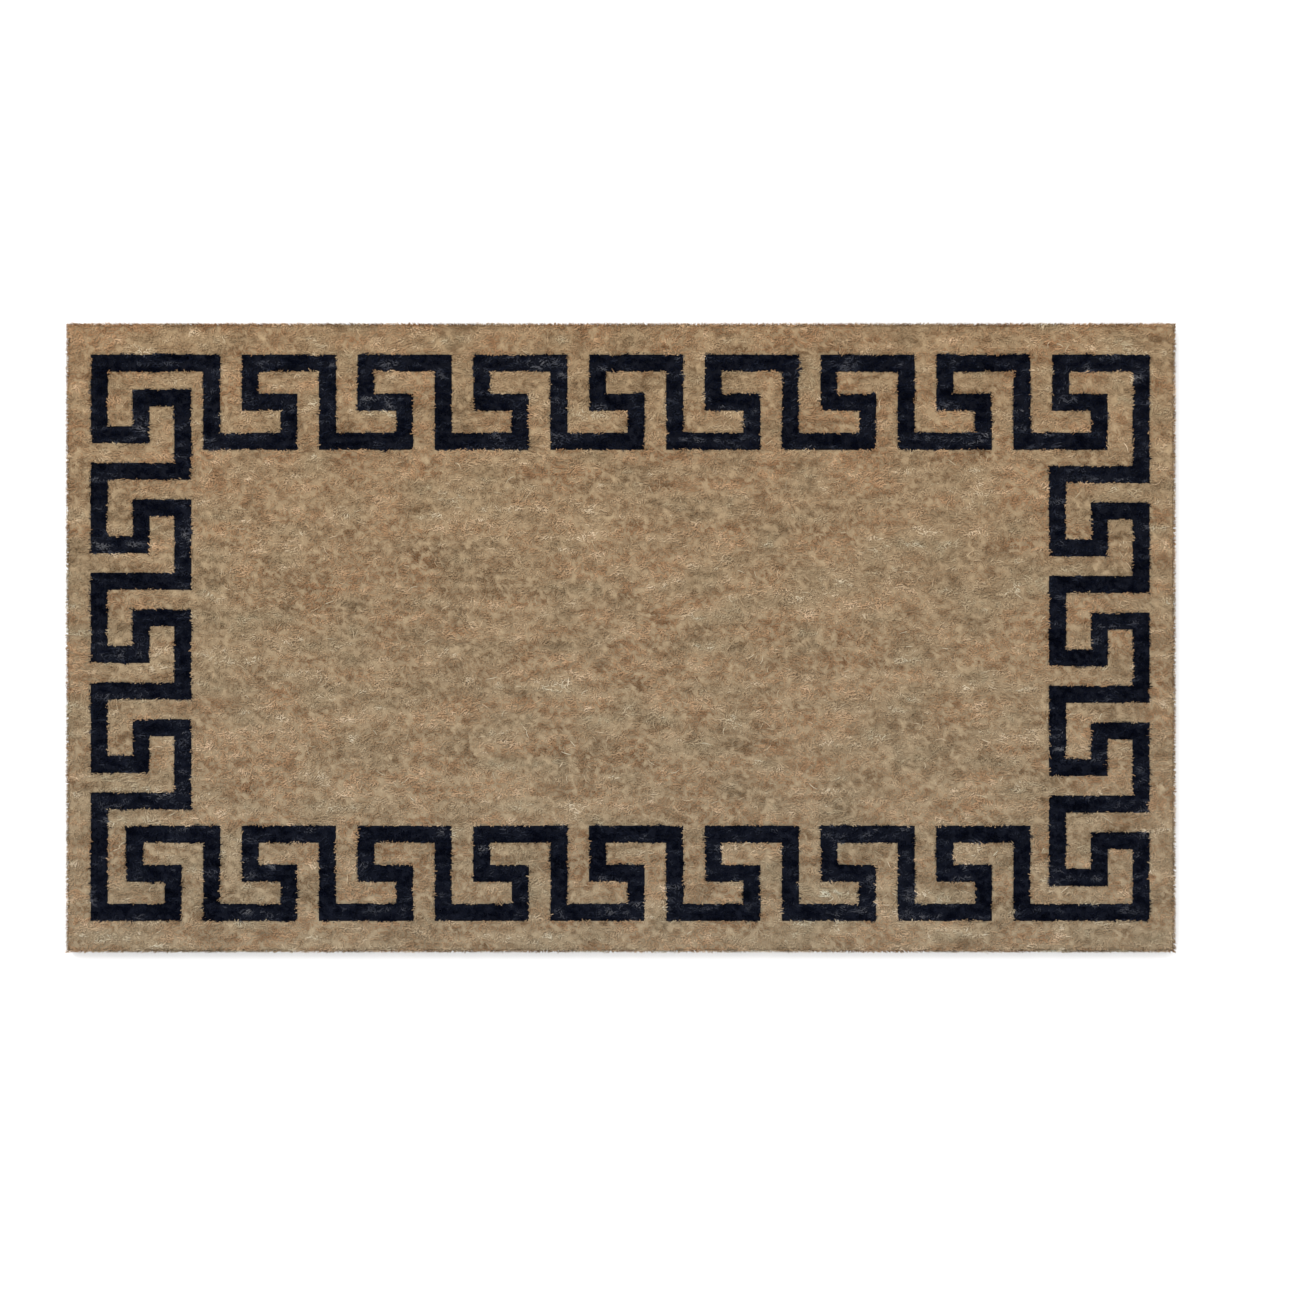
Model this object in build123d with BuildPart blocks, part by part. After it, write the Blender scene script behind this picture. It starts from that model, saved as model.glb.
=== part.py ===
from build123d import *
import os

# Door mat of cut coir pile on a vinyl backing, with a closed Greek key line in dyed coir.
#
# The origin is the centre of the underside. +X runs along the mat's length, +Y towards its far long edge and
# +Z up. Bristles of one colour stand packed together, so each stretch of pile is one solid: the plain field
# inside the key line, the dyed line itself, and the plain margin outside it. The three fill the mat with no
# gap between them, stand on the backing and are sheared off level.

# Driving dimensions, in millimetres
MAT_LENGTH = 762.0
MAT_WIDTH = 432.0
BACKING_THICKNESS = 2.5
PILE_HEIGHT = 12.5  # from the top of the backing to the cut ends of the bristles

# The key line is measured along the middle of its stroke. It runs round the mat as a rectangle that carries a
# row of hooks, all turned the same way, along each side.
STROKE = 11.8
KEY_LENGTH = 716.0
KEY_WIDTH = 377.5
KEY_SHIFT = -0.5  # the line lies this far off the mat's centre, along X
LONG_SIDE_HOOKS = 8
SHORT_SIDE_HOOKS = 4
LONG_SIDE_DEPTH = 53.7  # how far a hook on a long side reaches in from the rectangle
SHORT_SIDE_DEPTH = 57.4
# The stencil isn't quite even: against even steps from the corners, the hooks of both long sides lie this far
# towards -X, and those of the short sides this far on along their side.
LONG_SIDE_LAG = 2.3
SHORT_SIDE_LEAD = 1.1

# Moves that draw one hook, as steps (forward, inward): two in, two on, one out, one back, one out to the
# rectangle again and two on. So a hook takes up three steps of its side.
HOOK = [(0, 2), (2, 0), (0, -1), (-1, 0), (0, -1), (2, 0)]
STEPS_FORWARD = 3
STEPS_INWARD = 2

PILE_PLANE = Plane.XY.offset(BACKING_THICKNESS)


def side_corners(start, forward, inward, hooks, shift):
    """Corners along one side of the key line, from its start to just before the next side's start.

    forward and inward are one step along the side and one step towards the mat's middle. shift moves all the
    hooks.
    """
    point = start
    corners = [point]
    # A hook's length is left plain at the start of each side, beside the last hook of the side before it.
    point += forward * STEPS_FORWARD + shift
    corners.append(point)
    for ahead, inside in HOOK * hooks:
        point += forward * ahead + inward * inside
        corners.append(point)
    return corners[:-1]


def key_corners():
    """Corners of the whole key line, clockwise from the far left corner as seen from above."""
    along_x = Vector(KEY_LENGTH / (STEPS_FORWARD * (LONG_SIDE_HOOKS + 1)), 0)
    along_y = Vector(0, KEY_WIDTH / (STEPS_FORWARD * (SHORT_SIDE_HOOKS + 1)))
    in_from_end = Vector(SHORT_SIDE_DEPTH / STEPS_INWARD, 0)
    in_from_edge = Vector(0, LONG_SIDE_DEPTH / STEPS_INWARD)
    lag, lead = Vector(-LONG_SIDE_LAG, 0), Vector(0, SHORT_SIDE_LEAD)
    left, right = KEY_SHIFT - KEY_LENGTH / 2, KEY_SHIFT + KEY_LENGTH / 2
    near, far = -KEY_WIDTH / 2, KEY_WIDTH / 2
    return (
        side_corners(Vector(left, far), along_x, -in_from_edge, LONG_SIDE_HOOKS, lag)
        + side_corners(Vector(right, far), -along_y, -in_from_end, SHORT_SIDE_HOOKS, -lead)
        + side_corners(Vector(right, near), -along_x, in_from_edge, LONG_SIDE_HOOKS, lag)
        + side_corners(Vector(left, near), along_y, in_from_end, SHORT_SIDE_HOOKS, lead)
    )


# The area inside the middle of the key line's stroke, then inside the stroke's outer and inner edges
with BuildSketch() as line_middle:
    with BuildLine():
        Polyline(*key_corners(), close=True)
    make_face()

with BuildSketch(PILE_PLANE) as line_outside:
    add(line_middle.sketch)
    offset(amount=STROKE / 2, kind=Kind.INTERSECTION)

with BuildSketch(PILE_PLANE) as line_inside:
    add(line_middle.sketch)
    offset(amount=-STROKE / 2, kind=Kind.INTERSECTION)

# Black vinyl that the roots of all the bristles are set in
with BuildPart() as backing_sheet:
    with BuildSketch():
        Rectangle(MAT_LENGTH, MAT_WIDTH)
    extrude(amount=BACKING_THICKNESS)

# Plain coir in the middle of the mat, with fingers that run out between the hooks
with BuildPart() as field_pile:
    extrude(line_inside.sketch, amount=PILE_HEIGHT)

# Dyed coir, one closed line
with BuildPart() as greek_key_pile:
    extrude(line_outside.sketch, amount=PILE_HEIGHT)
    extrude(line_inside.sketch, amount=PILE_HEIGHT, mode=Mode.SUBTRACT)

# Plain coir round the outside, with fingers that run in between the hooks
with BuildPart() as margin_pile:
    with BuildSketch(PILE_PLANE):
        Rectangle(MAT_LENGTH, MAT_WIDTH)
        add(line_outside.sketch, mode=Mode.SUBTRACT)
    extrude(amount=PILE_HEIGHT)

backing_sheet.part.label = "backing_sheet"
field_pile.part.label = "field_pile"
greek_key_pile.part.label = "greek_key_pile"
margin_pile.part.label = "margin_pile"

os.makedirs("parts", exist_ok=True)
export_step(backing_sheet.part, "parts/backing_sheet.step")
export_step(field_pile.part, "parts/field_pile.step")
export_step(greek_key_pile.part, "parts/greek_key_pile.step")
export_step(margin_pile.part, "parts/margin_pile.step")
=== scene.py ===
import math

import bpy
import numpy as np
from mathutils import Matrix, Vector


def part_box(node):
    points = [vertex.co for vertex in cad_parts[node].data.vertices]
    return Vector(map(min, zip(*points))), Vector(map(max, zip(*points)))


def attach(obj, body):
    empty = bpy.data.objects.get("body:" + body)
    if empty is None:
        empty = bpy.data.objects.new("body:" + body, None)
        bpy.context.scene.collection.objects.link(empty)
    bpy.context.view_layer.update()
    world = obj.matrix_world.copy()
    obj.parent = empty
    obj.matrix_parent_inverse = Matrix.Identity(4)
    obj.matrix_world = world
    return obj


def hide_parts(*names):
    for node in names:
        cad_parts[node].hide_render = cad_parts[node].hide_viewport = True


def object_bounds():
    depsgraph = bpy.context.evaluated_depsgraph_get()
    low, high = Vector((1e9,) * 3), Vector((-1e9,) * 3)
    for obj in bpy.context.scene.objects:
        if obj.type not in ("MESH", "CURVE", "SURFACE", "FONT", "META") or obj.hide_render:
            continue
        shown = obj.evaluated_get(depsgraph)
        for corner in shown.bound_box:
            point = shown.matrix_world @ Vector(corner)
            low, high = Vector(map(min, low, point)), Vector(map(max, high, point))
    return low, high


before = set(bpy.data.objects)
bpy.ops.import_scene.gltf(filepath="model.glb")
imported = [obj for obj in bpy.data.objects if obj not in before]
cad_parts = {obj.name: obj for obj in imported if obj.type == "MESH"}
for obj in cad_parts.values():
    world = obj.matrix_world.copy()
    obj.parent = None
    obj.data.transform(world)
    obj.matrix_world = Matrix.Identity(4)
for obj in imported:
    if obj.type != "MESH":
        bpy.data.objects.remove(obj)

# A coir door mat, seen from straight above. Its bristles are real geometry. Those of the pile rise in tufts
# out of a dense tangle on the vinyl backing, and those along the cut edges stand on the backing itself.
# Everything is in metres, in the CAD frame.

MM = 0.001
SEED = 17  # each random pattern adds a number of its own to it

CAD_LOW, CAD_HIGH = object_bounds()
ROOT_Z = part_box("backing_sheet")[1].z  # the top of the backing, where the pile begins
TIP_Z = CAD_HIGH.z  # the level that the pile is sheared to
PILE_HEIGHT = TIP_Z - ROOT_Z
MAT_SIZE = CAD_HIGH - CAD_LOW
HALF_MAT = np.array(CAD_HIGH.xy)  # the mat is centred, so this is also its far right corner
NODE_OF = {"field": "field_pile", "margin": "margin_pile", "key": "greek_key_pile"}
SLOT_OF = {"field": "natural_coir", "margin": "natural_coir", "key": "dyed_coir"}

# Tufts stand in rows along X. Every second row is set half a tuft along.
ROW_PITCH = 3.6 * MM
TUFT_PITCH = 3.8 * MM
TUFT_JITTER = 0.55 * MM
TUFT_SPREAD = 0.8 * MM  # how far a tuft's bristles stand from its middle
BRISTLES_PER_TUFT = 10
BRISTLE_RADIUS = 0.35 * MM
BRISTLE_START = 0.65  # how far up the pile a bristle leaves the tangle, as a share of its height
BRISTLE_SIDES = 3
PIECE_TRIANGLES = 190000  # the most in one piece

# How far a bristle's tip lies over from its root, along X and along Y: further along X, the way of the rows.
# All the bristles near each other are pressed roughly one way, and each tuft and each bristle has a lean of
# its own too.
LEAN_BY_PLACE = np.array([2.2, 1.4]) * MM
LEAN_BY_TUFT = np.array([1.7, 1.1]) * MM
LEAN_BY_BRISTLE = np.array([1.6, 1.1]) * MM

# How unevenly the pile is sheared
SHEARED_BY_PLACE = 0.45 * MM
SHORT_BY_BRISTLE = 0.45 * MM
SHORT_BY_TUFT = 0.3 * MM

# The dye has crept under the stencil's edge here and stopped short of it there, and is ragged from bristle to
# bristle.
DYE_CREEP = 0.8 * MM
DYE_RAGGEDNESS = 0.3 * MM

# The cut edges of the mat, where the bristles stand in full view from the backing up, in rows this far in
EDGE_ROWS = (0.35 * MM, 0.9 * MM, 1.5 * MM)
EDGE_PITCH = 0.5 * MM
EDGE_RADIUS = 0.24 * MM
EDGE_STRAY_ALONG = 0.3 * MM  # how far a root strays from its place
EDGE_STRAY_ACROSS = 0.2 * MM
EDGE_SHORT = 0.4 * MM  # how unevenly they are sheared
EDGE_SWAY = 1.0 * MM  # how far a tip strays along the edge from its root
EDGE_BOW = 0.35  # how far a bristle's middle bows, as a share of its sway
EDGE_SPLAY = 0.25 * MM  # how far the tips lean out
EDGE_SPLAY_SPREAD = 0.3 * MM  # how much that differs from one to the next
EDGE_CONTRAST = 0.11  # how far the bristles there differ in shade, each from the next
TUFTS_START = 1.8 * MM  # where the tufts begin, in from the edge
TUFTS_ROOM = 0.9 * MM  # the nearest that a tuft's bristle comes to the edge

# Long pale bristles that have been trodden flat
BENT_COUNT = 700
BENT_LENGTHS = (4 * MM, 8 * MM)
BENT_RADIUS = 0.2 * MM
BENT_INSET = 12 * MM  # from the mat's edges

# The tangle low in the pile, that light hardly reaches
CORE_SHARE = 0.78  # of the pile's height
CORE_RELIEF = 0.9 * MM
CORE_CELL = 3.2 * MM
CORE_INSET = 1.3 * MM


# ----------------------------------------------------------------------------------------------------
# Camera, light and floor


def add_camera():
    """Looks straight down, with the middle of its frame a little right of and below the mat's middle."""
    lens, sensor, frame_width = 85.0, 36.0, 0.8924
    middle_x, middle_y = 0.0200, -0.0084
    camera = bpy.data.objects.new("camera", bpy.data.cameras.new("camera"))
    camera.data.lens = lens
    camera.data.sensor_width = sensor
    camera.location = (middle_x, middle_y, TIP_Z + frame_width * lens / sensor)
    bpy.context.collection.objects.link(camera)
    bpy.context.scene.camera = camera


def add_light(name, place, size, watts):
    """A soft square lamp aimed at the mat."""
    lamp = bpy.data.objects.new(name, bpy.data.lights.new(name, "AREA"))
    lamp.data.size = size
    lamp.data.energy = watts
    lamp.location = place
    lamp.rotation_euler = (-Vector(place)).to_track_quat("-Z", "Y").to_euler()
    lamp.visible_camera = False
    bpy.context.collection.objects.link(lamp)


def add_floor():
    """A round pale floor, no larger than the lamps light well, so that its rim is as bright as the world."""
    radius, height, sides = 3.6, -0.1 * MM, 96
    mesh = bpy.data.meshes.new("floor")
    turns = [math.tau * side / sides for side in range(sides)]
    rim = [(radius * math.cos(turn), radius * math.sin(turn), height) for turn in turns]
    mesh.from_pydata(rim, [], [range(sides)])
    material = bpy.data.materials.new("floor")
    material.use_nodes = True
    shader = material.node_tree.nodes["Principled BSDF"]
    shader.inputs["Base Color"].default_value = (0.87, 0.87, 0.87, 1)
    shader.inputs["Roughness"].default_value = 0.9
    mesh.materials.append(material)
    floor = bpy.data.objects.new("floor", mesh)
    bpy.context.collection.objects.link(floor)
    return floor


def add_studio():
    """Two lamps, white surroundings and the floor, which it returns."""
    add_light("main_light", (-0.9, 1.3, 2.9), 1.9, 72)
    add_light("fill_light", (1.6, -1.2, 2.7), 2.6, 33)
    world = bpy.data.worlds.new("studio")
    world.use_nodes = True
    background = world.node_tree.nodes["Background"]
    background.inputs["Color"].default_value = (1, 1, 1, 1)
    background.inputs["Strength"].default_value = 1.0
    bpy.context.scene.world = world
    bpy.context.scene.view_settings.view_transform = "Standard"
    return add_floor()


# ----------------------------------------------------------------------------------------------------
# Outlines of the stretches of pile, read from the CAD nodes


def walls(node):
    """The walls of a CAD node that face along X, as rows of x, lowest y and highest y."""
    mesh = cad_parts[node].data
    found = set()
    for face in mesh.polygons:
        if abs(face.normal.x) > 0.9:
            corners = [mesh.vertices[i].co for i in face.vertices]
            ys = [corner.y for corner in corners]
            found.add((round(corners[0].x, 6), round(min(ys), 6), round(max(ys), 6)))
    return np.array(sorted(found))


def inside(points, outline):
    """Whether each point lies inside an outline, by whether the walls to its right are odd in number."""
    count = np.zeros(len(points), int)
    for x, low, high in outline:
        count += (points[:, 0] < x) & (low <= points[:, 1]) & (points[:, 1] < high)
    return count % 2 == 1


OUTLINES = {region: walls(node) for region, node in NODE_OF.items()}


# ----------------------------------------------------------------------------------------------------
# Patterns and meshes


def smooth_noise(points, cell, seed):
    """Numbers from -1 to 1 at points in the plane, smooth over about a cell, which is a size in x and y."""
    outside = 20 * MM  # points may lie this far outside the mat
    spots = (points[:, :2] + HALF_MAT + outside) / np.array(cell)
    first = np.floor(spots).astype(int)
    part = spots - first
    x_part, y_part = (part * part * (3 - 2 * part)).T
    x, y = first.T
    grid = np.random.default_rng(seed).uniform(-1, 1, first.max(0) + 2)
    low = grid[x, y] * (1 - x_part) + grid[x + 1, y] * x_part
    high = grid[x, y + 1] * (1 - x_part) + grid[x + 1, y + 1] * x_part
    return low * (1 - y_part) + high * y_part


def noise_pair(points, cell, seeds):
    """Two smooth noises side by side, one to move points along X and one to move them along Y."""
    return np.stack([smooth_noise(points, cell, seed) for seed in seeds], axis=1)


def grid_points(xs, ys):
    """The points of a grid as rows of x and y, column by column."""
    return np.stack(np.meshgrid(xs, ys, indexing="ij"), axis=-1).reshape(-1, 2)


def grid_lines(values, spacing):
    """Coordinates in order that include the values, and more between so that no gap is over the spacing."""
    lines = []
    for low, high in zip(values[:-1], values[1:]):
        steps = math.ceil((high - low) / spacing)
        lines.extend(np.linspace(low, high, steps, endpoint=False))
    return np.array([*lines, values[-1]])


def add_mesh(name, vertices, corners, starts, material, smooth):
    """A mesh object from arrays: its vertices, each face corner's vertex, and each face's first corner."""
    mesh = bpy.data.meshes.new(name)
    mesh.vertices.add(len(vertices))
    mesh.vertices.foreach_set("co", vertices.astype(np.float32).ravel())
    mesh.loops.add(len(corners))
    mesh.loops.foreach_set("vertex_index", corners.astype(np.int32))
    mesh.polygons.add(len(starts))
    mesh.polygons.foreach_set("loop_start", starts.astype(np.int32))
    mesh.polygons.foreach_set("use_smooth", np.full(len(starts), smooth))
    mesh.update(calc_edges=True)
    mesh.materials.append(material)
    piece = bpy.data.objects.new(name, mesh)
    bpy.context.collection.objects.link(piece)
    return piece


def add_quads(name, vertices, quads, material, smooth):
    """A mesh object whose faces all have four corners."""
    return add_mesh(name, vertices, quads.ravel(), np.arange(len(quads)) * 4, material, smooth)


def finish_piece(piece, slot, *nodes):
    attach(piece, "root")
    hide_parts(*nodes)


def set_in(lines):
    """Grid lines with the first and last moved in from the mat's edge."""
    moved = lines.copy()
    moved[0] += CORE_INSET
    moved[-1] -= CORE_INSET
    return moved


def add_slab(name, region, heights, material):
    """A closed slab with a region's outline. It stands on the backing, and heights are those of its top."""
    columns, rows = len(GRID_X), len(GRID_Y)
    middles = grid_points((GRID_X[:-1] + GRID_X[1:]) / 2, (GRID_Y[:-1] + GRID_Y[1:]) / 2)
    # Whether each cell of the grid is part of the slab, with a border of empty cells round them all
    filled = np.zeros((columns + 1, rows + 1), bool)
    filled[1:-1, 1:-1] = inside(middles, OUTLINES[region]).reshape(columns - 1, rows - 1)

    spots = grid_points(set_in(GRID_X), set_in(GRID_Y))
    top = np.column_stack([spots, heights])
    bottom = np.column_stack([spots, np.full(len(spots), ROOT_Z)])
    number = np.arange(len(spots)).reshape(columns, rows)
    under = number + len(top)

    i, j = np.nonzero(filled[1:-1, 1:-1])
    square = [number[i, j], number[i + 1, j], number[i + 1, j + 1], number[i, j + 1]]
    faces = [np.stack(square, axis=1)]
    faces.append(np.stack([corner + len(top) for corner in square[::-1]], axis=1))
    # A wall stands wherever a filled cell has an empty one beside it. Each side is given as the way to the
    # empty cell, and the corners of the filled cell that the wall runs between.
    sides = [
        ((-1, 0), (0, 1), (0, 0)),
        ((1, 0), (1, 0), (1, 1)),
        ((0, -1), (0, 0), (1, 0)),
        ((0, 1), (1, 1), (0, 1)),
    ]
    for way, first, last in sides:
        beside = filled[1 + way[0]:columns + way[0], 1 + way[1]:rows + way[1]]
        i, j = np.nonzero(filled[1:-1, 1:-1] & ~beside)
        start, end = (i + first[0], j + first[1]), (i + last[0], j + last[1])
        faces.append(np.stack([under[start], under[end], number[end], number[start]], axis=1))
    used, quads = np.unique(np.concatenate(faces), return_inverse=True)
    return add_quads(name, np.concatenate([top, bottom])[used], quads.reshape(-1, 4), material, True)


def add_bristles(name, middles, radii, marks, material):
    """One piece of many bristles, each a three-sided tube with closed ends.

    middles holds the points down the middle of each bristle, from root to tip, and radii the radius at each.
    marks holds numbers for each bristle that its material reads by name.
    """
    count, stations = middles.shape[:2]
    ahead = middles[:, -1] - middles[:, 0]
    ahead /= np.linalg.norm(ahead, axis=1, keepdims=True)
    # Any direction well off the bristle's own will do to set its sides out from.
    other = np.where(np.abs(ahead[:, 2:]) > 0.7, (1.0, 0.0, 0.0), (0.0, 0.0, 1.0))
    side = np.cross(ahead, other)
    side /= np.linalg.norm(side, axis=1, keepdims=True)
    up = np.cross(ahead, side)
    turn = np.random.default_rng(SEED + count).uniform(0, math.tau, (count, 1))
    turn = turn + np.arange(BRISTLE_SIDES) * math.tau / BRISTLE_SIDES
    ring = np.cos(turn)[..., None] * side[:, None] + np.sin(turn)[..., None] * up[:, None]
    vertices = middles[:, :, None] + radii[:, :, None, None] * ring[:, None]

    # Each face as (how far along, how far round), with the seam's far side a full turn round
    last = stations - 1
    faces = []
    for along in range(last):
        for around in range(BRISTLE_SIDES):
            faces.append([(along, around), (along, around + 1), (along + 1, around + 1), (along + 1, around)])
    faces.append([(0, around) for around in reversed(range(BRISTLE_SIDES))])
    faces.append([(last, around) for around in range(BRISTLE_SIDES)])
    in_order = [corner for face in faces for corner in face]
    pattern = np.array([BRISTLE_SIDES * along + around % BRISTLE_SIDES for along, around in in_order])
    starts = np.cumsum([0] + [len(face) for face in faces])[:-1]
    corners = np.arange(count)[:, None] * (BRISTLE_SIDES * stations) + pattern
    first = np.arange(count)[:, None] * len(pattern) + starts
    piece = add_mesh(name, vertices.reshape(-1, 3), corners.ravel(), first.ravel(), material, True)

    for mark, values in marks.items():
        attribute = piece.data.attributes.new(mark, "FLOAT", "POINT")
        attribute.data.foreach_set("value", np.repeat(values, BRISTLE_SIDES * stations).astype(np.float32))
    return piece


def add_split(name, middles, radii, marks, material):
    """The bristles as several pieces side by side along Y, so that none has too many triangles."""
    triangles_each = 2 * BRISTLE_SIDES * (middles.shape[1] - 1) + 2 * (BRISTLE_SIDES - 2)
    groups = math.ceil(len(middles) * triangles_each / PIECE_TRIANGLES)
    order = np.argsort(middles[:, 0, 1], kind="stable")
    pieces = []
    for number, chosen in enumerate(np.array_split(order, groups), start=1):
        label = name if groups == 1 else f"{name}_{number}"
        chosen_marks = {mark: values[chosen] for mark, values in marks.items()}
        pieces.append(add_bristles(label, middles[chosen], radii[chosen], chosen_marks, material))
    return pieces


# ----------------------------------------------------------------------------------------------------
# Materials


class Nodes:
    """Makes and links the nodes of one material."""

    def __init__(self, name):
        self.material = bpy.data.materials.new(name)
        self.material.use_nodes = True
        self.tree = self.material.node_tree
        self.shader = self.tree.nodes["Principled BSDF"]

    def add(self, kind, inputs=None, **settings):
        """A node with its settings, and its inputs set to numbers or linked to other nodes' outputs."""
        node = self.tree.nodes.new(kind)
        for setting, value in settings.items():
            setattr(node, setting, value)
        for key, value in (inputs or {}).items():
            self.feed(node.inputs[key], value)
        return node

    def feed(self, socket, value):
        if isinstance(value, bpy.types.NodeSocket):
            self.tree.links.new(value, socket)
        else:
            socket.default_value = value

    def shade_with(self, name, value):
        """Sets one of the shader's own inputs, or links it."""
        self.feed(self.shader.inputs[name], value)

    def attribute(self, name):
        return self.add("ShaderNodeAttribute", attribute_name=name, attribute_type="GEOMETRY").outputs["Fac"]

    def place(self):
        return self.add("ShaderNodeTexCoord").outputs["Object"]

    def coordinate(self, axis):
        return self.add("ShaderNodeSeparateXYZ", {"Vector": self.place()}).outputs[axis]

    def stretched(self, factors):
        """The place on the object with each axis multiplied by a factor."""
        return self.add("ShaderNodeMapping", {"Vector": self.place(), "Scale": factors}).outputs["Vector"]

    def noise(self, vector, scale, detail=2.0):
        inputs = {"Vector": vector, "Scale": scale, "Detail": detail}
        return self.add("ShaderNodeTexNoise", inputs).outputs["Fac"]

    def span(self, value, from_low, from_high, to_low, to_high):
        """The value carried from one range to another, and held to it."""
        inputs = {"Value": value, "From Min": from_low, "From Max": from_high}
        inputs |= {"To Min": to_low, "To Max": to_high}
        return self.add("ShaderNodeMapRange", inputs).outputs["Result"]

    def ramp(self, value, stops):
        node = self.add("ShaderNodeValToRGB", {"Fac": value})
        elements = node.color_ramp.elements
        while len(elements) < len(stops):
            elements.new(0.5)
        for element, (position, colour) in zip(elements, stops):
            element.position = position
            element.color = (*colour, 1)
        return node.outputs["Color"]

    def mix(self, factor, first, second, blend="MIX"):
        node = self.add("ShaderNodeMix", data_type="RGBA", blend_type=blend)
        for socket, value in ((node.inputs[0], factor), (node.inputs[6], first), (node.inputs[7], second)):
            self.feed(socket, value)
        return node.outputs[2]

    def multiplied(self, first, second):
        return self.mix(1.0, first, second, "MULTIPLY")

    def painted_shade_below(self, colour):
        """The colour darkened down a bristle, from the cut ends to the backing: painted shade, deeper in the
        pile.
        """
        height = self.span(self.coordinate("Z"), ROOT_Z, TIP_Z, 0.0, 1.0)
        stops = [(0.0, grey(0.5)), (0.7, grey(0.95)), (1.0, grey(1.0))]
        return self.multiplied(colour, self.ramp(height, stops))

    def drifted(self, colour):
        """The colour as it drifts across the mat, greyer by the near edge and warmer by the far one."""
        far = self.span(self.coordinate("Y"), CAD_LOW.y, CAD_HIGH.y, 0.0, 1.0)
        stops = [(0.0, (0.955, 0.99, 1.0)), (1.0, (1.0, 0.94, 0.84))]
        return self.multiplied(colour, self.ramp(far, stops))

    def bump(self, value, strength, distance):
        node = self.add("ShaderNodeBump", {"Height": value, "Strength": strength, "Distance": distance})
        self.tree.links.new(node.outputs["Normal"], self.shader.inputs["Normal"])

    def fibrous(self, smoothest, roughest):
        """A fibre's uneven dull surface, with fine ridges along the bristle."""
        unevenness = self.noise(self.place(), 900.0)
        self.shade_with("Roughness", self.span(unevenness, 0.3, 0.7, smoothest, roughest))
        ridges = self.noise(self.stretched((1.0, 1.0, 0.2)), 4000.0)
        self.bump(ridges, 0.25, 0.05 * MM)


def grey(level):
    return (level, level, level)


def natural_coir():
    """Undyed coconut fibre: straw, tan and orange brown."""
    nodes = Nodes("natural_coir")
    stops = [
        (0.0, (0.167, 0.102, 0.051)),
        (0.22, (0.258, 0.170, 0.099)),
        (0.5, (0.359, 0.260, 0.166)),
        (0.75, (0.475, 0.376, 0.268)),
        (1.0, (0.65, 0.58, 0.48)),
    ]
    colour = nodes.ramp(nodes.attribute("shade"), stops)
    warm = nodes.mix(nodes.attribute("warmth"), (0.96, 1.01, 0.98, 1), (1.12, 0.93, 0.78, 1))
    # Its colour is darkened towards the backing as painted shade of the deep pile.
    nodes.shade_with("Base Color", nodes.painted_shade_below(nodes.drifted(nodes.multiplied(colour, warm))))
    nodes.shade_with("Specular IOR Level", 0.35)
    nodes.shade_with("Diffuse Roughness", 1.0)
    nodes.fibrous(0.62, 0.86)
    return nodes.material


def dyed_coir():
    """Coconut fibre dyed navy black, with a bristle here and there that took less of the dye."""
    nodes = Nodes("dyed_coir")
    stops = [
        (0.0, (0.0015, 0.002, 0.0045)),
        (0.36, (0.0032, 0.0042, 0.0095)),
        (0.5, (0.0068, 0.0086, 0.0162)),
        (0.66, (0.019, 0.022, 0.033)),
        (0.82, (0.050, 0.053, 0.066)),
        (1.0, (0.12, 0.12, 0.13)),
    ]
    nodes.shade_with("Base Color", nodes.ramp(nodes.attribute("shade"), stops))
    nodes.shade_with("Specular IOR Level", 0.0)
    nodes.fibrous(0.6, 0.85)
    return nodes.material


def core_coir(name, dark, light):
    """The tangle low in the pile: fibres crossing in every direction, each only a fleck of colour."""
    nodes = Nodes(name)
    flecks = nodes.noise(nodes.stretched((1.0, 1.0, 0.25)), 1400.0, 3.0)
    clumps = nodes.noise(nodes.place(), 260.0)
    mixed = nodes.add("ShaderNodeMath", {0: flecks, 1: clumps}, operation="MULTIPLY").outputs[0]
    nodes.shade_with("Base Color", nodes.drifted(nodes.ramp(mixed, [(0.14, dark), (0.40, light)])))
    nodes.shade_with("Roughness", nodes.span(clumps, 0.3, 0.7, 0.8, 0.95))
    nodes.shade_with("Specular IOR Level", 0.05)
    nodes.bump(flecks, 0.8, 0.4 * MM)
    return nodes.material


def black_vinyl():
    """Matt black vinyl, cast with a fine pebble grain, with a trace of dust."""
    nodes = Nodes("black_vinyl")
    grain = nodes.add("ShaderNodeTexVoronoi", {"Vector": nodes.place(), "Scale": 1100.0}).outputs["Distance"]
    dust = nodes.noise(nodes.place(), 45.0, 5.0)
    stops = [(0.35, (0.016, 0.016, 0.017)), (0.75, (0.035, 0.033, 0.031))]
    nodes.shade_with("Base Color", nodes.ramp(dust, stops))
    nodes.shade_with("Roughness", nodes.span(dust, 0.35, 0.7, 0.48, 0.72))
    nodes.bump(grain, 0.5, 0.12 * MM)
    return nodes.material


# ----------------------------------------------------------------------------------------------------
# The mat's pieces


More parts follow.
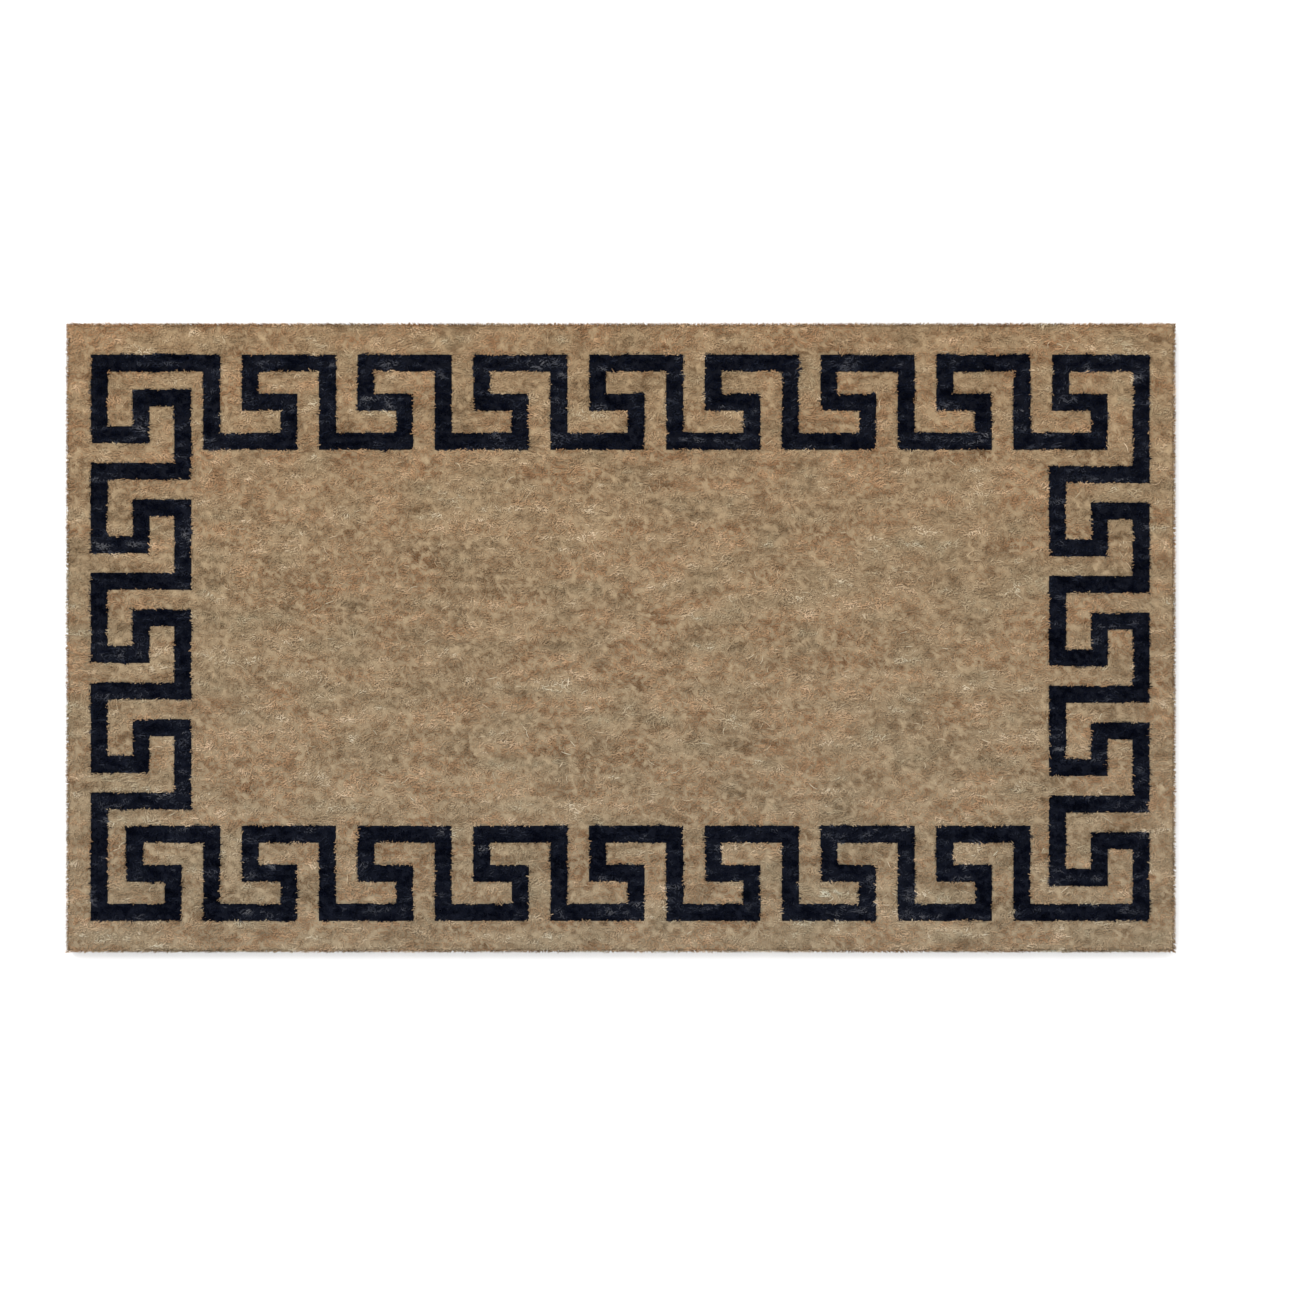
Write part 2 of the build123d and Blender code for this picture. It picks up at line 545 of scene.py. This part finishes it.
def add_backing(material):
    """The vinyl sheet, with a knife-cut edge that isn't quite straight, and pebbles cast in its underside."""
    spacing = 3.0 * MM
    xs = grid_lines(np.array([CAD_LOW.x, CAD_HIGH.x]), spacing)
    ys = grid_lines(np.array([CAD_LOW.y, CAD_HIGH.y]), spacing)
    points = grid_points(xs, ys)
    number = np.arange(len(points)).reshape(len(xs), len(ys))
    rim = np.concatenate([number[:, 0], number[-1, 1:], number[-2::-1, -1], number[0, -2:0:-1]])
    on_rim = np.zeros(len(points), bool)
    on_rim[rim] = True

    # The edge wanders about a line that lies as far inside the mat's nominal size.
    wander = 0.12 * MM
    moved = points - wander * np.sign(points) * (np.abs(points) > HALF_MAT - spacing / 2)
    moved[on_rim] += wander * noise_pair(points[on_rim], (30 * MM, 30 * MM), (SEED + 1, SEED + 2))
    pebble_depth = 0.16 * MM
    pebbles = pebble_depth * (0.5 + 0.5 * smooth_noise(points, (4 * MM, 4 * MM), SEED + 3))
    pebbles[on_rim] = 0.0
    low = np.column_stack([moved, CAD_LOW.z + pebbles])
    high = np.column_stack([moved, np.full(len(points), ROOT_Z)])

    square = [number[:-1, :-1], number[1:, :-1], number[1:, 1:], number[:-1, 1:]]
    upper = np.stack([corner.ravel() for corner in square], axis=1) + len(points)
    lower = np.stack([corner.ravel() for corner in square[::-1]], axis=1)
    following = np.roll(rim, -1)
    side = np.stack([rim, following, following + len(points), rim + len(points)], axis=1)
    quads = np.concatenate([lower, upper, side])
    piece = add_quads("vinyl_backing", np.concatenate([low, high]), quads, material, False)
    finish_piece(piece, "vinyl_backing", "backing_sheet")
    return piece


def add_cores(materials):
    """The dense lower part of each stretch of pile."""
    points = grid_points(GRID_X, GRID_Y)
    fine = smooth_noise(points, (4 * MM, 4 * MM), SEED + 4)
    broad = smooth_noise(points, (9 * MM, 7 * MM), SEED + 5)
    heights = ROOT_Z + CORE_SHARE * PILE_HEIGHT + CORE_RELIEF * (0.6 * fine + 0.4 * broad)
    pieces = []
    for region, node in NODE_OF.items():
        piece = add_slab(f"{region}_pile_core", region, heights, materials[region])
        finish_piece(piece, SLOT_OF[region], node)
        pieces.append(piece)
    return pieces


def shades(rng, points, owner):
    """How light each bristle is, from 0 to 1: by chance, by its tuft and by patterns that are long in X."""
    by_chance = rng.normal(0, 0.02, len(points))
    by_tuft = rng.normal(0, 0.05, owner.max() + 1)[owner]
    grain = 0.21 * smooth_noise(points, (4.4 * MM, 2.8 * MM), SEED + 18)
    clumps = 0.23 * smooth_noise(points, (9 * MM, 4 * MM), SEED + 6)
    streaks = 0.17 * smooth_noise(points, (24 * MM, 5 * MM), SEED + 13)
    patches = 0.09 * smooth_noise(points, (60 * MM, 20 * MM), SEED + 7)
    return np.clip(0.5 + by_chance + by_tuft + grain + clumps + streaks + patches, 0, 1)


def warmths(rng, points):
    """How orange each bristle is, from 0 to 1: by its clump, and by chance."""
    clumps = 0.5 * smooth_noise(points, (24 * MM, 10 * MM), SEED + 15)
    return np.clip(0.5 + clumps + rng.normal(0, 0.08, len(points)), 0, 1)


def folded_back(points):
    """Points that stray too near the mat's edge or past it, turned back as far inside."""
    return points - 2 * np.sign(points) * np.maximum(np.abs(points) - (HALF_MAT - TUFTS_ROOM), 0)


def tuft_places(rng):
    rows = np.arange(CAD_LOW.y + TUFTS_START, CAD_HIGH.y - TUFTS_START, ROW_PITCH)
    columns = np.arange(CAD_LOW.x + TUFTS_START, CAD_HIGH.x - TUFTS_START, TUFT_PITCH)
    tuft_x, tuft_y = np.meshgrid(columns, rows)
    tuft_x[1::2] += TUFT_PITCH / 2
    tufts = np.stack([tuft_x.ravel(), tuft_y.ravel()], axis=1)
    return tufts + rng.normal(0, TUFT_JITTER, tufts.shape)


def add_pile(materials):
    """The tufts. A bristle fans out from its tuft, and is dyed or not by where the part of it in sight is."""
    rng = np.random.default_rng(SEED)
    tufts = tuft_places(rng)
    owner = np.repeat(np.arange(len(tufts)), BRISTLES_PER_TUFT)
    count = len(owner)

    pressed = noise_pair(tufts, (24 * MM, 14 * MM), (SEED + 8, SEED + 9))
    lean = LEAN_BY_PLACE * pressed + rng.normal(0, LEAN_BY_TUFT, tufts.shape)
    roots = tufts[owner] + rng.normal(0, TUFT_SPREAD, (count, 2))
    tips = roots + lean[owner] + rng.normal(0, LEAN_BY_BRISTLE, (count, 2))
    roots, tips = folded_back(roots), folded_back(tips)

    sheared = TIP_Z + SHEARED_BY_PLACE * smooth_noise(tips, (10 * MM, 7 * MM), SEED + 10)
    short = np.abs(rng.normal(0, SHORT_BY_BRISTLE, count))
    short += np.abs(rng.normal(0, SHORT_BY_TUFT, len(tufts)))[owner]
    middles = np.empty((count, 2, 3))
    middles[:, 0] = np.column_stack([roots, np.full(count, ROOT_Z + BRISTLE_START * PILE_HEIGHT)])
    middles[:, 1] = np.column_stack([tips, sheared - short])
    radii = BRISTLE_RADIUS * rng.uniform(0.72, 1.2, (count, 1)) * np.array([1.0, 0.85])
    marks = {"shade": shades(rng, tips, owner), "warmth": warmths(rng, tips)}

    shown = 0.3 * roots + 0.7 * tips  # the middle of the part that is in sight
    creep = DYE_CREEP * noise_pair(tips, (12 * MM, 12 * MM), (SEED + 16, SEED + 17))
    printed = shown + creep + rng.normal(0, DYE_RAGGEDNESS, tips.shape)
    in_key = inside(printed, OUTLINES["key"])
    in_field = inside(printed, OUTLINES["field"]) & ~in_key
    chosen = {"field": in_field, "key": in_key, "margin": ~in_field & ~in_key}
    pieces = []
    for region, node in NODE_OF.items():
        pick = chosen[region]
        picked_marks = {mark: values[pick] for mark, values in marks.items()}
        made = add_split(f"{region}_bristles", middles[pick], radii[pick], picked_marks, materials[region])
        for piece in made:
            finish_piece(piece, SLOT_OF[region], node)
        pieces += made
    return pieces


def add_edge(rng, name, corner, along, outward, length, material):
    """The bristles along one cut edge, which starts at a corner and has the mat on its other side."""
    rows = [np.arange(start, length - start, EDGE_PITCH) for start in EDGE_ROWS]
    travel = np.concatenate(rows)
    inset = np.repeat(EDGE_ROWS, [len(row) for row in rows])
    count = len(travel)
    travel += rng.normal(0, EDGE_STRAY_ALONG, count)
    travel = np.clip(travel, EDGE_ROWS[0], length - EDGE_ROWS[0])
    inset += rng.uniform(-EDGE_STRAY_ACROSS, EDGE_STRAY_ACROSS, count)
    roots = corner + travel[:, None] * along - inset[:, None] * outward
    sway = rng.normal(0, EDGE_SWAY, count)
    splay = rng.normal(EDGE_SPLAY, EDGE_SPLAY_SPREAD, count)
    tip_z = TIP_Z - np.abs(rng.normal(0, EDGE_SHORT, count))
    middles = np.empty((count, 3, 3))
    for station, share in enumerate((0.0, 0.5, 1.0)):
        swayed = share + EDGE_BOW * math.sin(math.pi * share) * rng.normal(0, 1, count)
        spot = roots + (swayed * sway)[:, None] * along + (share * share * splay)[:, None] * outward
        middles[:, station] = np.column_stack([spot, ROOT_Z + share * (tip_z - ROOT_Z)])
    radii = EDGE_RADIUS * rng.uniform(0.7, 1.25, (count, 1)) * np.array([1.0, 0.95, 0.8])
    ends = middles[:, 2, :2]
    contrast = rng.normal(0, EDGE_CONTRAST, count)
    shade = np.clip(shades(rng, ends, (travel / TUFT_PITCH).astype(int)) + contrast, 0, 1)
    piece = add_bristles(name, middles, radii, {"shade": shade, "warmth": warmths(rng, ends)}, material)
    finish_piece(piece, SLOT_OF["margin"], NODE_OF["margin"])
    return piece


def add_edges(material):
    """The bristles that the knife left standing along the four cut edges, bowed a little outwards."""
    rng = np.random.default_rng(SEED + 11)
    sides = {
        "near": (-HALF_MAT, (1, 0), (0, -1), MAT_SIZE.x),
        "far": (HALF_MAT, (-1, 0), (0, 1), MAT_SIZE.x),
        "left": (-HALF_MAT, (0, 1), (-1, 0), MAT_SIZE.y),
        "right": (HALF_MAT, (0, -1), (1, 0), MAT_SIZE.y),
    }
    return [
        add_edge(rng, f"{side}_edge_bristles", corner, np.array(along), np.array(outward), length, material)
        for side, (corner, along, outward, length) in sides.items()
    ]


def add_bent_bristles(material):
    """Long pale bristles in the plain pile that have been trodden flat and lie across the cut ends."""
    rng = np.random.default_rng(SEED + 12)
    room = HALF_MAT - BENT_INSET
    roots = rng.uniform(-room, room, (BENT_COUNT, 2))
    heading = rng.normal(0, 0.75, BENT_COUNT) + math.pi * rng.integers(0, 2, BENT_COUNT)
    length = rng.uniform(*BENT_LENGTHS, BENT_COUNT)
    curl = rng.normal(0, 0.5, BENT_COUNT)
    shares = (0.0, 0.3, 0.65, 1.0)  # of its length
    heights = (-2.6 * MM, -0.35 * MM, 0.15 * MM, -0.2 * MM)  # above the cut ends, at each of those shares
    middles = np.empty((BENT_COUNT, 4, 3))
    for station, (share, height) in enumerate(zip(shares, heights)):
        angle = heading + curl * share
        step = (share * length)[:, None] * np.stack([np.cos(angle), np.sin(angle)], axis=1)
        height_here = TIP_Z + height + rng.normal(0, 0.12 * MM, BENT_COUNT)
        middles[:, station] = np.column_stack([roots + step, height_here])
    in_key = inside(middles[:, 0, :2], OUTLINES["key"]) | inside(middles[:, 3, :2], OUTLINES["key"])
    middles = middles[~in_key]
    count = len(middles)
    radii = BENT_RADIUS * rng.uniform(0.8, 1.3, (count, 1)) * np.array([1.0, 1.0, 0.9, 0.6])
    marks = {"shade": rng.uniform(0.45, 0.95, count), "warmth": rng.uniform(0, 0.6, count)}
    piece = add_bristles("bent_bristles", middles, radii, marks, material)
    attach(piece, "root")
    return piece


add_camera()
floor = add_studio()

all_walls = np.concatenate(list(OUTLINES.values()))
GRID_X = grid_lines(np.unique(all_walls[:, 0]), CORE_CELL)
GRID_Y = grid_lines(np.unique(all_walls[:, 1:]), CORE_CELL)

natural, dyed = natural_coir(), dyed_coir()
# The cores take the fibres' own colours, set a little darker than the bristles' as painted shade of the deep
# pile.
natural_core = core_coir("natural_core", (0.242, 0.178, 0.113), (0.358, 0.274, 0.179))
dyed_core = core_coir("dyed_core", (0.002, 0.0027, 0.006), (0.008, 0.0095, 0.017))

backing = add_backing(black_vinyl())
pile = add_cores({"field": natural_core, "margin": natural_core, "key": dyed_core})
pile += add_pile({"field": natural, "margin": natural, "key": dyed})
pile += add_edges(natural)
pile.append(add_bent_bristles(natural))
